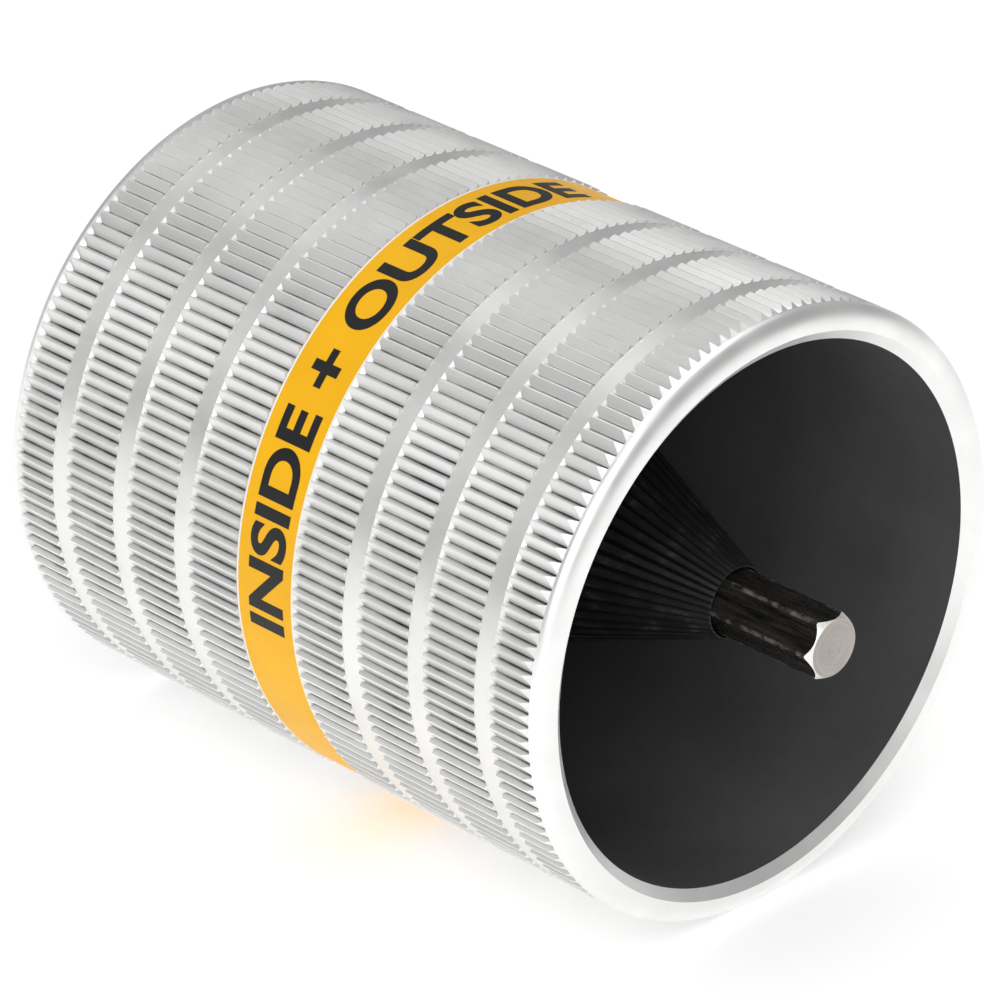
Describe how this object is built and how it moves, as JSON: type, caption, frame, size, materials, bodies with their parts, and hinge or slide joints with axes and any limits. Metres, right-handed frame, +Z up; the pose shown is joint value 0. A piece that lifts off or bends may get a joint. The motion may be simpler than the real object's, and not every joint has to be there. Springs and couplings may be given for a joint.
{
  "type": "pipe deburring tool",
  "caption": "Knurled round hand tool with a convex toothed cone in one mouth, a toothed funnel in the other and a hexagon drive shaft sliding through both",
  "frame": {"origin": "centre of the front mouth on the tool's axis, where the toothed cone's cavity opens", "axes": "+X along the tool's axis out of the front mouth, +Z up; the tool lies on its side"},
  "size_m": [0.0872, 0.066, 0.066],
  "materials": {
    "knurled_aluminium": "turned and knurled, satin",
    "marking_film": "printed film, satin",
    "dark_liner": "matte",
    "black_rubber": "matte",
    "black_cutter_steel": "black oxide, ground edges",
    "bright_steel": "turned",
    "black_anodised": "black anodised",
    "black_shaft_steel": "black oxide bar with ground ends"
  },
  "bodies": {
    "tool_body": {"grip_sleeve": "knurled_aluminium", "label_band": "marking_film", "front_liner": "dark_liner", "liner_gasket": "black_rubber", "inner_deburring_cutter": "black_cutter_steel", "spacer_ring": "bright_steel", "outer_deburring_cutter": "black_cutter_steel", "spring_washer": "bright_steel", "lock_ring": "black_anodised", "key_pins": "bright_steel", "drive_bush": "bright_steel", "friction_ring": "bright_steel"},
    "shaft": {"drive_shaft": "black_shaft_steel"}
  },
  "joints": [
    {"name": "shaft_slide", "type": "slide", "parent": "tool_body", "child": "shaft", "axis": [1, 0, 0], "range_m": [-0.0133, 0]}
  ]
}
